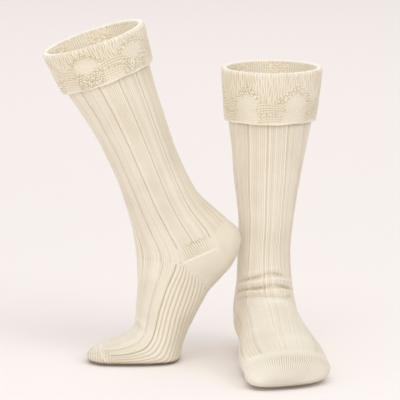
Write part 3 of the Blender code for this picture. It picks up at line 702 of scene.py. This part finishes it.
def build_leg(sock):
    start = LEG_START * sock.millimetre
    at = row_places(sock.leg, sock.leg_end, sock["leg_spacing"], start)
    angle = sock.leg_angles(at)
    base, outward = lay(sock.leg, at, angle, last=-SEAM / 2)
    relief, groove = wale_relief(sock["seed"])
    turned, turned_sunk, cover = heel_turn(sock, base)
    folds = sock.fold_height(base, angle)
    height = relief * (1 - cover) + turned + folds + uneven(base)
    points = base + outward * height[..., None]
    # Painted shadow of the cuff's hem on the leg
    shade = 0.5 * bell((at / sock.millimetre)[:, None], sock["cuff_depth"], HEM_SHADOW)
    shell = Shell(sock)
    # Sunk share: painted shade in the grooves and heel hollows, painted shade and light on the folds, the hem's
    # shadow
    outer = shell.add_points(points, groove * (1 - cover) + turned_sunk - FOLD_SHADE * folds + shade)
    wales = np.append(LEG_WALES, WALES)
    shell.add_grid(outer, knit_places(wales, distances(base)))
    # Inside, with the reverse of the knitting near the opening
    near = start + np.arange(REVERSE_ROWS) * REVERSE_SPACING * sock.millimetre
    at = np.concatenate((near, at[at > near[-1] + 2 * sock.millimetre][::5], at[-1:]))
    angle = sock.leg_angles(at)[:, ::2]
    inside, outward = lay(sock.leg, at, angle, last=-SEAM / 2)
    shown = fade(at, near[-1 - REVERSE_FADE_ROWS], near[-1])[:, None]
    down = (at / sock.millimetre)[:, None]
    bumps, gaps = reverse_relief(LEG_WALES[::2], down)
    height = shown * bumps - WALL + sock.fold_height(inside, angle)
    inside = inside + outward * height[..., None]
    places = knit_places(wales[::2], np.broadcast_to(down, angle.shape))
    # Inside: painted shade in the reverse's gaps near the opening, and an even painted shade below them
    inner = shell.add_inside(inside, shown * gaps + (1 - shown) * 0.3, places)
    shell.add_rims(outer, inner)
    return shell, sheet_size(sock.stage(base))


def build_heel(sock):
    half = np.append(HEEL_FIRST_STATIONS, 1 + np.arange(1 + len(HEEL_FIRST_STATIONS), HEEL_COLUMNS) / HEEL_COLUMNS)
    stations = np.concatenate((half, (2,), half[::-1]))
    side = np.repeat((1, -1), (len(half) + 1, len(half)))
    shares = np.linspace(0, 1, HEEL_ROWS + 1)
    angle = station_angles(sock.heel(shares), side, stations)
    lines = sock.heel(np.linspace(0, 1, 25))[:, None, :]
    span = np.stack([steps(outline(lines, row)).sum(axis=0) for row in angle])
    inset = np.minimum(SEAM / span, 0.45)
    at = inset + (1 - 2 * inset) * shares[:, None]
    base = outline(sock.heel(at), angle)
    distance = np.minimum(at, 1 - at) * span
    ridge = 0.3 * bell(distance, 1.6, 0.9) * ramp(stations, 1, 1.08) * (at > 0.5)
    turned, turned_sunk, cover = heel_turn(sock, base)
    courses = wave(at * span / 2.4) * ramp(distance, 1.5, 4) * (1 - cover)
    height = ridge + 0.2 * courses + turned + uneven(base)
    outward = normals(sock.heel, at, angle)
    shell = Shell(sock)
    # Sunk share: painted shade between the courses, and the heel turn's painted shade and highlight
    outer = shell.add_points(base + outward * height[..., None], 0.12 * (1 - courses) * (1 - cover) + turned_sunk)
    places = np.stack((distances(base, 1) / WALE_WIDTH, at * span / COURSE), axis=-1)
    shell.add_grid(outer, places, closed=False)
    inner = shell.add_inside((base - outward * WALL)[::2, ::2], INSIDE_SHADE, places[::2, ::2], closed=False)
    borders = [np.concatenate((grid[0], grid[1:-1, -1], grid[-1][::-1], grid[-2:0:-1, 0])) for grid in (outer, inner)]
    shell.add_strip(*borders, reverse=True)
    shell.mark(*borders)
    return shell, sheet_size(sock.stage(base), closed=False)


def foot_columns(sock):
    """Columns round the foot: side, station, relief, sunk share and wale number."""
    side, half = side_and_half(sock.leg_turns(LEG_WALES))
    station = sock.leg_stations(sock.last_row, side, half)[0]
    relief, groove = wale_relief(sock["seed"])
    lines = sock["instep_lines"]
    relief = np.where(relief < 0, relief * lines, relief) * (0.2 + 0.8 * lines)
    groove = 0.12 + (np.where(groove > 0.35, groove * lines, groove) - 0.12) * (0.2 + 0.8 * lines)
    plain = np.arange(PLAIN_COLUMNS)
    half_ribs = (0, RIB_HALF_STEPS_TO_SIDE, RIB_HALF_STEPS_TO_SIDE + RIB_HALF_STEPS_TO_SOLE)
    columns = []
    for sign in (1, -1):
        own = side == sign
        grooves = station[own & (LEG_WALES % WALES_TO_PANEL == 0)]
        wale = COLUMNS_TO_WALE * np.median(np.abs(np.diff(station[own])))
        instep = own & (station <= grooves[grooves < INSTEP_END].max() + wale)
        between = np.linspace(station[instep].max(), RIB_START, PLAIN_COLUMNS + 2)[1:-1]
        # The line under the sole is counted once
        rib = np.arange(half_ribs[-1] * COLUMNS_TO_HALF_RIB + (sign == 1)) / COLUMNS_TO_HALF_RIB
        crest = np.abs(np.sin(rib * math.pi / 2)) ** 0.65
        # Sunk shares: the wales' painted shade and highlight, painted shade on the plain columns and between the ribs
        parts = (
            (station[instep], relief[instep], groove[instep], LEG_WALES[instep]),
            (between, WALE_HEIGHT * np.abs(np.sin(plain * math.pi / 4)), 0.24, plain / 4),
            (np.interp(rib, half_ribs, (RIB_START, 1, 2)), RIB_DEPTH * (crest - 1),
             0.06 + 0.74 * (1 - crest) ** 1.3, rib + 0.5),
        )
        columns += [np.stack(np.broadcast_arrays(sign, *part)) for part in parts]
    table = np.concatenate(columns, axis=1)
    return table[:, np.argsort(np.where(table[0] == 1, table[1], 4 - table[1]), kind="stable")]


def drawn_together(station, gone):
    """Stations of the ribs, drawn towards the ankle's side point where they start."""
    pull = np.exp(-gone / 13)
    behind = np.clip(station - 1, 0, 1)
    before = np.clip((1 - station) / (1 - INSTEP_END), 0, 1)
    return station - 0.45 * pull * behind * (1 - behind) + (1 - INSTEP_END) * 0.55 * pull * before * (1 - before)


def floor_contact_shade(points, outward):
    """Painted shade where the sole turns to the floor, and from a share on the painted dark contact shadow."""
    z = points[..., 2]
    turn = 0.6 * fade(z, 3, 7) + 1.7 * fade(z, 2.4, 5)
    return turn * (1 - 0.85 * ramp(-outward[..., 2], 0.93, 0.995))


def toe_courses(sock, base, shown):
    """Relief and sunk share of the lines that run round the end of the foot, where the sock has them."""
    if not sock["toe_lines_round"]:
        return 0, 0
    a, z = base[..., 0], base[..., 2]
    shown = shown * window(z, 1.5, 4, 13, 19)
    line = (a + 0.5 * np.sin(z / 2.7) + 0.5 * np.sin(a / 5.3)) / TOE_COURSE
    crest = wave(line) * (0.8 + 0.2 * np.cos(TURN * z / 2.8 + 2 * np.sin(line * 2.1)))
    # Sunk share: painted shade between the lines, painted highlight on them
    return 0.45 * crest * shown, (0.75 * (1 - crest) - 0.2) * shown


def build_foot(sock):
    side, station, relief, sunk, wale = foot_columns(sock)
    at = row_places(sock.foot, sock.foot_end, sock["foot_spacing"])
    sections = sock.foot(at)
    angle = station_angles(sections, side, station)
    gone = norm(outline(sections[:, None, :], angle) - outline(sock.foot(0), angle[0]))
    angle = station_angles(sections, side, drawn_together(station, gone))
    base, outward = lay(sock.foot, at, angle, SEAM / 2, -SEAM / 2)
    left = norm(base - outline(sock.foot(float(sock.foot_end)), angle[-1]))
    rib_end = ramp(left, *sock["rib_end"])
    ribbed = np.where(station > INSTEP_END, rib_end * ramp(gone, 0, 2.5), ramp(left, 1, 6))
    folds = sock.fold_height(base, angle)
    courses, courses_sunk = toe_courses(sock, base, ramp(left, 0.5, 2) * (1 - rib_end))
    height = (relief * ribbed + folds + uneven(base)) * ramp(base[..., 2], *FLOOR_FADE) + courses
    points = base + outward * height[..., None]
    shell = Shell(sock)
    # Sunk share: painted shade and light of the columns, folds and toe lines, and the painted contact shadow
    outer = shell.add_points(points, sunk * ribbed - FOLD_SHADE * folds + floor_contact_shade(points, outward) + courses_sunk)
    places = knit_places(np.append(wale, wale[0] + 1), distances(base))
    shell.add_grid(outer, places)
    kept = np.append(np.arange(0, len(at) - 1, 4), len(at) - 1)
    inner = shell.add_inside((base + outward * (folds - WALL)[..., None])[kept], INSIDE_SHADE, places[kept])
    shell.add_rims(outer, inner)
    return shell, sheet_size(sock.stage(base))


def build_toe(sock):
    count = sock["toe_columns"]
    side, half = side_and_half(np.arange(count) / count)
    shares = np.append(np.linspace(0, 0.85, 40), 0.85 + 0.145 * np.sin(np.linspace(0, math.pi / 2, 12)[1:]))
    angle = station_angles(sock.toe(shares), side, 2 * half)
    base, outward = lay(sock.toe, shares, angle, SEAM / 2)
    lengths = distances(base)
    # Raised and sunk rings beside the seam
    seam = (0.35 * bell(lengths, 1.6, 1) + 0.22 * bell(lengths, 6.2, 1)) * sock["toe_seam"]
    seam_sunk = 0.15 * (bell(lengths, 3.8, 0.9) - bell(lengths, 1.4, 1)) * sock["toe_seam"]
    # Lines down the toe, strongest on its top, or lines round it
    number = np.arange(count + 1) / COLUMNS_TO_TOE_WALE
    chance = np.random.default_rng(sock["seed"]).random(count)[number[:-1].astype(int)]
    wales = 0.5 - 0.5 * np.cos(TURN * number[:-1]) * (0.6 + 0.4 * chance)
    shown = ramp(lengths, 5, 13) * fade(shares, 0.74, 0.94)[:, None]
    shown = shown * (1 - 0.8 * ramp(np.abs(angle), 0.35, 1.2)) * (not sock["toe_lines_round"])
    courses, courses_sunk = toe_courses(sock, base, fade(shares, 0.75, 0.95)[:, None])
    height = seam * ramp(lengths, 0, 0.8) + 0.5 * wales * shown + uneven(base)
    height = height * ramp(base[..., 2], *FLOOR_FADE) + courses
    points = base + outward * height[..., None]
    # Sunk share: painted shade and highlight of the lines and the seam's rings, and the painted contact shadow
    sunk = 0.12 + (0.75 * (1 - wales) - 0.25) * shown + seam_sunk + floor_contact_shade(points, outward) + courses_sunk
    shell = Shell(sock)
    outer = shell.add_points(points, sunk)
    places = knit_places(number, lengths)
    shell.add_grid(outer, places)
    kept = np.append(np.arange(0, len(shares) - 1, 3), len(shares) - 1)
    inner = shell.add_inside((base - outward * WALL)[kept], INSIDE_SHADE, places[kept])
    shell.add_strip(outer[0], inner[0], reverse=True)
    tip = outline(sock.toe(1), 0)
    outer_tip, inner_tip = shell.add_points(np.array((tip, tip - (WALL, 0, 0))), 0)
    shell.add_tip(outer[-1], outer_tip, OUTSIDE)
    shell.add_tip(inner[-1], inner_tip, INSIDE, reverse=True)
    shell.mark(outer[0])
    return shell, sheet_size(sock.stage(base))


def cuff_relief(sock, turn, up):
    """Relief of the cuff's chart, and how sunk it lies, at shares of the round and of the flap's height."""
    place = (turn - sock["cuff_turn"]) * REPEATS
    place = place + 0.012 * np.sin(up * 9 + place * 5.1)
    up = up + 0.012 * np.sin(place * 7.3 + up * 5)
    across = np.abs(place % 1 - 0.5) * 2
    rib = place * RIBS_TO_REPEAT
    rise = up * (sock["cuff_depth"] - FOLD_RADIUS)
    hem = fade(up, 0.015, 0.05)
    up = up - sock["chart_lift"]
    # Ribs, uneven from one to the next, from the V's edge to the fold
    table = np.random.default_rng(sock["seed"]).random((REPEATS * RIBS_TO_REPEAT, 3))
    length, shift, strength = np.moveaxis(table[np.round(rib).astype(int) % len(table)], -1, 0)
    beads = 0.8 + 0.2 * np.cos(TURN * (rise / (2.2 + 0.5 * length) + shift))
    swing = 0.16 * np.sin(rise / (2.6 + length) + shift * 6)
    ribs = wave(rib + swing) ** 0.8 * beads * (0.72 + 0.28 * strength)
    edge = 0.84 - 0.42 * across + 0.02 * (shift - 0.5)
    rib_zone = ramp(up, edge - 0.02, edge + 0.05)
    # Zones below the ribs
    measure = (across / 0.47) ** 1.5 + (np.abs(up - 0.42) / 0.2) ** 1.5
    diamond = ramp(1 - measure, -0.45, 0.35)
    below = ramp(0.3 - up, -0.05, 0.1) * fade(across, 0.4, 0.62) * (sock["chart_lift"] == 0)
    point = ramp(across - 0.55, 0, 0.12) * fade(up, -0.03, 0.02)
    arch = ramp(across, 0.48, 0.62) * window(up, 0.24, 0.28, 0.44, 0.5)
    foot_zone = ramp(across, 0.52, 0.72) * fade(up, 0.18, 0.22) * (1 - point)
    ridge = wave((rise + 9 * (1 - across) ** 2) / 3) * (0.72 + 0.28 * np.cos(TURN * rib * 0.9))
    faint = wave((rise - 3 * across) / 3.1)
    moss = bobbles(place * 18, rise / 2.7 + 0.9 * across, MOSS_SEED)
    rest = (1 - rib_zone) * (1 - hem)
    arch, foot_zone, below = arch * rest, foot_zone * rest, below * rest * (1 - diamond)
    smooth = np.maximum(diamond, point) * rest
    textured = np.clip(rest - arch - foot_zone - below - smooth, 0, 1)
    # Cover, relief and sunk share of each zone; the sunk share is painted shade in the pattern's hollows
    zones = (
        (rib_zone, 0.05 + ribs, 0.8 * (1 - ribs)),
        (textured, 0.05 + 1.45 * moss, 1.05 * (1 - moss) - 0.12),
        (smooth, 0.62 + 0.12 * moss, 0.5 - 0.16 * moss),
        (below, 0.55 + 0.22 * faint, 0.3 + 0.24 * (1 - faint)),
        (arch, 0.05 + 1.15 * ridge, 0.85 * (1 - ridge)),
        (foot_zone, 0.2 + 0.8 * ridge, 0.8 * (1 - ridge)),
        (hem, 0.6, 0.2),
    )
    height = sum(cover * relief for cover, relief, _ in zones)
    sunk = sum(cover * tone for cover, _, tone in zones)
    return height, np.clip(sunk, 0, 1)


def arc(middle, radius, bends):
    """Points of the cuff's profile on an arc over the fold: height above the leg's surface, and depth."""
    return np.stack((middle + radius * np.cos(bends), FOLD_RADIUS - radius * np.sin(bends)), axis=-1)


def build_cuff(sock):
    depth = sock["cuff_depth"]
    turn = np.arange(CUFF_COLUMNS) / CUFF_COLUMNS
    side, half = side_and_half(turn)
    flap = int(round((depth - FOLD_RADIUS) / CUFF_ROW))
    up = np.linspace(0, 1, flap + 1)
    bends = np.linspace(0, math.pi, FOLD_STEPS + 1)
    # Up the outside of the flap, over the fold, round the collar, back under the fold and down the inside of the flap
    profile = np.concatenate((
        np.stack((np.full(flap + 1, FLAP_OUTSIDE), depth - up * (depth - FOLD_RADIUS)), axis=-1),
        arc(FOLD_MIDDLE, FOLD_RADIUS, bends[1:-1]),
        ((-WALL, FOLD_RADIUS), (-WALL, COLLAR_DEPTH), (0, COLLAR_DEPTH), (0, FOLD_RADIUS)),
        arc(FOLD_INNER_RADIUS, FOLD_INNER_RADIUS, np.linspace(math.pi, 0, FOLD_INNER_STEPS + 1)[1:-1]),
        ((FLAP_GAP, FOLD_RADIUS), (FLAP_GAP, depth / 2), (FLAP_GAP, depth)),
        ((FLAP_GAP + HEM_ROUNDING, depth + HEM_ROUNDING), (FLAP_OUTSIDE - HEM_ROUNDING, depth + HEM_ROUNDING)),
    ))
    at = profile[:, 1] * sock.millimetre
    angle = station_angles(sock.leg(at), side, 2 * half)
    base, outward = lay(sock.leg, at, angle)
    relief = np.zeros(angle.shape)
    sunk = np.zeros(angle.shape)
    pattern, pattern_sunk = cuff_relief(sock, turn, up[:, None])
    relief[:flap + 1] = pattern - PATTERN_LET_IN * ramp(up, 0.2, 0.8)[:, None]
    sunk[:flap + 1] = pattern_sunk
    # The ribs run on over the fold
    over = slice(flap + 1, flap + FOLD_STEPS + 2)
    bends = bends[:, None]
    ribs = pattern[-1] - PATTERN_LET_IN
    from_top = np.abs(np.linspace(-1, 1, FOLD_STEPS + 1))[:, None]
    relief[over] = ribs * np.cos(bends)
    # Painted shade between the ribs over the fold, and a painted highlight along its top
    sunk[over] = pattern_sunk[-1] * 0.9 * ramp(from_top, 0.15, 0.6) - 0.15 * fade(from_top, 0.1, 0.5)
    height = profile[:, :1] + relief + uneven(base)
    points = base + outward * height[..., None]
    # The hem hangs unevenly, and in front it is lifted
    drop = 0.35 * np.sin(TURN * turn * 5 + 0.7) + 0.25 * np.sin(TURN * turn * 11 + 2)
    drop = drop - sock["hem_lift"] * wave(turn)
    sag = ramp(profile[:, 1:], depth * 0.6, depth) * drop
    down = outline(sock.leg(at[:, None] + 0.02), angle) - base
    down /= norm(down)[..., None]
    points += down * sag[..., None]
    points[over] -= down[over] * (ribs * np.sin(bends))[..., None]
    shell = Shell(sock)
    numbers = shell.add_points(points, sunk)
    around = np.append(turn, 1) * REPEATS * RIBS_TO_REPEAT
    walked = distances(profile)[:, None] / COURSE
    places = np.stack(np.broadcast_arrays(around, walked), axis=-1)
    places = np.concatenate((places, places[:1] + (0, walked[-1, 0] + 1)))
    ring = np.concatenate((numbers, numbers[:1]))
    turned = flap + FOLD_STEPS + 1
    shell.mark(*numbers[[turned, turned + 1, len(profile) - 3]])
    shell.add_grid(ring[:turned + 1], places[:turned + 1])
    shell.add_grid(ring[turned:], places[turned:], material=INSIDE)
    return shell, sheet_size(sock.stage(points)[:turned + 1])


class Nodes:
    """A new material and its node tree."""

    def __init__(self, name):
        self.material = bpy.data.materials.new(name)
        self.material.use_nodes = True
        self.tree = self.material.node_tree
        self.shader = self.tree.nodes["Principled BSDF"]

    def feed(self, node, inputs):
        """Link or set inputs, given by name or number."""
        for key, value in inputs.items():
            if isinstance(value, bpy.types.NodeSocket):
                self.tree.links.new(value, node.inputs[key])
            else:
                node.inputs[key].default_value = value

    def add(self, kind, inputs=None, **options):
        """Outputs of a new node."""
        node = self.tree.nodes.new(f"ShaderNode{kind}")
        for name, value in options.items():
            setattr(node, name, value)
        self.feed(node, inputs or {})
        return node.outputs

    def math(self, operation, *values, clamp=False):
        return self.add("Math", dict(enumerate(values)), operation=operation, use_clamp=clamp)[0]

    def mix(self, share, first, second):
        return self.add("Mix", {"Factor": share, "A": first, "B": second}, data_type="RGBA")["Result"]


def knit_material(name, colour, shade_colour, reverse=False, stitch=0.00028):
    """Wool knit: stitches by wale and course, fuzz, and painted shade where it is sunk, in a darker colour."""
    nodes = Nodes(name)
    plus, minus, times = (functools.partial(nodes.math, operation) for operation in ("ADD", "SUBTRACT", "MULTIPLY"))
    wale, course, _ = nodes.add("SeparateXYZ", {0: nodes.add("UVMap", uv_map="wales_and_courses")[0]})
    if reverse:
        shift = times(nodes.math("COSINE", times(wale, TURN)), 0.25)
    else:
        # Distance from the middle of the wale; wales lie at whole numbers
        off = nodes.math("ABSOLUTE", minus(nodes.math("FRACT", plus(wale, 0.5)), 0.5))
        shift = times(off, 1.5)
    phase = nodes.math("FRACT", plus(course, shift))
    height = nodes.math("SINE", times(phase, math.pi))
    if not reverse:
        lobe = times(minus(off, 0.25), 4)
        lobe = minus(1, times(lobe, lobe))
        height = times(lobe, plus(times(height, 0.6), 0.4))
    place = nodes.add("TexCoord")["Object"]
    fuzz = nodes.add("TexNoise", {"Vector": place, "Scale": 1400, "Detail": 4, "Roughness": 0.65})[0]
    bump = nodes.add("Bump", {"Strength": 0.8, "Distance": stitch, "Height": height})[0]
    bump = nodes.add("Bump", {"Strength": 0.55, "Distance": 0.00018, "Height": fuzz, "Normal": bump})[0]
    # Colour: painted shade by the sunk share and in the gaps between the stitches, and slow patches of uneven tone
    slow = nodes.add("TexNoise", {"Vector": place, "Scale": 22, "Detail": 3})[0]
    share = nodes.add("Attribute", attribute_name="hollow")["Fac"]
    gap = times(minus(1, height, clamp=True), 0.28)
    patch = times(minus(slow, 0.5), 0.5)
    sunk = plus(plus(times(share, 0.85), gap), patch, clamp=True)
    wool = nodes.mix(sunk, colour, shade_colour)
    # Painted contact shadow: the dark line where the sole touches the floor
    contact = minus(share, CONTACT_SHADOW_START, clamp=True)
    nodes.feed(nodes.shader, {
        "Base Color": nodes.mix(contact, wool, CONTACT_SHADOW_COLOUR),
        "Normal": bump,
        "Roughness": 0.92,
        "Specular IOR Level": 0.25,
        "Sheen Weight": 0.25,
        "Sheen Roughness": 0.45,
        "Sheen Tint": (1, 0.97, 0.92, 1),
    })
    return nodes.material


# One yarn in lighter and darker copies per piece, set to each piece's tone under this light: painted light and shade
KNITS = {part: knit_material(f"{part}_wool", colour, shade_colour) for part, colour, shade_colour in (
    ("cuff", (0.93, 0.9, 0.81, 1), (0.53, 0.43, 0.27, 1)),
    ("leg", (0.82, 0.77, 0.67, 1), (0.49, 0.39, 0.23, 1)),
    ("heel", (0.83, 0.78, 0.675, 1), (0.48, 0.38, 0.22, 1)),
    ("foot", (0.84, 0.795, 0.695, 1), (0.46, 0.36, 0.2, 1)),
    ("toe", (0.88, 0.84, 0.745, 1), (0.46, 0.36, 0.22, 1)),
)}
# The inside, lighter than the outside wool: painted light against the shade inside the openings
REVERSE = knit_material("wool_inside", (1, 0.98, 0.9, 1), (0.74, 0.61, 0.4, 1), reverse=True, stitch=0.0004)

# Each piece's builder, and the piece of the same sock that carries it
BUILDERS = (
    ("cuff", build_cuff, "leg"),
    ("leg", build_leg, "foot"),
    ("heel", build_heel, "foot"),
    ("foot", build_foot, "toe"),
    ("toe", build_toe, "foot"),
)

for column, sock_name in enumerate(("tiptoe", "standing")):
    sock = Sock({key: row[column] for key, row in SETTINGS.items()})
    for piece_name, build, carrier in BUILDERS:
        shell, (width, length, area) = build(sock)
        node = f"{sock_name}_{piece_name}"
        piece = shell.make(f"{node}_knit", [KNITS[piece_name], REVERSE])
        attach(piece, "root")
        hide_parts(node)
        round(float(max(length, area / width)), 4)


def make_sweep():
    """Floor and backdrop in one piece, in metres."""
    floor = -ORIGIN[2]
    half_width, bend_start, radius, height, bend_steps = 8, 4.5, 2, 7, 16
    bend = [math.pi / 2 * step / bend_steps for step in range(bend_steps + 1)]
    line = [(bend_start + radius * math.sin(turn), floor + radius * (1 - math.cos(turn))) for turn in bend]
    line = [(-half_width, floor), *line, (bend_start + radius, floor + height)]
    verts = [(x, y, z) for y, z in line for x in (-half_width, half_width)]
    faces = [(2 * i, 2 * i + 1, 2 * i + 3, 2 * i + 2) for i in range(len(line) - 1)]
    mesh = bpy.data.meshes.new("sweep")
    mesh.from_pydata(verts, [], faces)
    mesh.shade_smooth()
    nodes = Nodes("sweep_paper")
    nodes.feed(nodes.shader, {"Base Color": (0.895, 0.855, 0.84, 1), "Roughness": 0.9, "Specular IOR Level": 0.1})
    mesh.materials.append(nodes.material)
    add_object("sweep", mesh)


WHITE = (1, 0.99, 0.985)
# Name, place, aim, size, power, colour and whether it casts shadows
LIGHTS = (
    ("key", (2.4, -2.1, 1.8), (-0.08, 0, -0.15), 1.8, 27, WHITE, True),
    ("fill", (-2.3, -2.7, 0.6), (-0.08, 0, -0.15), 1.4, 34, WHITE, False),
    ("top", (-0.1, -1.6, 2.6), (-0.1, 0, 0), 1.8, 15, WHITE, True),
    ("back", (-0.1, 2.4, 2.3), (-0.1, 3.7, -0.34), 2.2, 13, (1, 0.985, 0.97), True),
)

make_sweep()
for name, place, aim, size, power, colour, shadow in LIGHTS:
    data = bpy.data.lights.new(name, "AREA")
    data.shape = "SQUARE"
    data.size = size
    data.energy = power
    data.color = colour
    data.use_shadow = shadow
    light = add_object(name, data)
    light.location = place
    ray = np.array(aim) - place
    ray /= norm(ray)
    light.rotation_euler = (math.acos(-ray[2]), 0, math.atan2(-ray[0], ray[1]))

world = bpy.data.worlds.new("studio")
scene = bpy.context.scene
scene.world = world
world.use_nodes = True
background = world.node_tree.nodes["Background"]
background.inputs["Color"].default_value = (1.0, 0.985, 0.975, 1.0)
background.inputs["Strength"].default_value = 0.8

camera_data = bpy.data.cameras.new("camera")
camera_data.lens = 349.1
camera_data.sensor_width = 36.0
camera_data.clip_end = 50.0
camera = add_object("camera", camera_data)
camera.location = (-0.08299, -4.44087, 0.61044)
camera.rotation_euler = (math.radians(80.2), 0.0, 0.0)
scene.camera = camera
scene.view_settings.view_transform = "Standard"

bpy.context.view_layer.update()
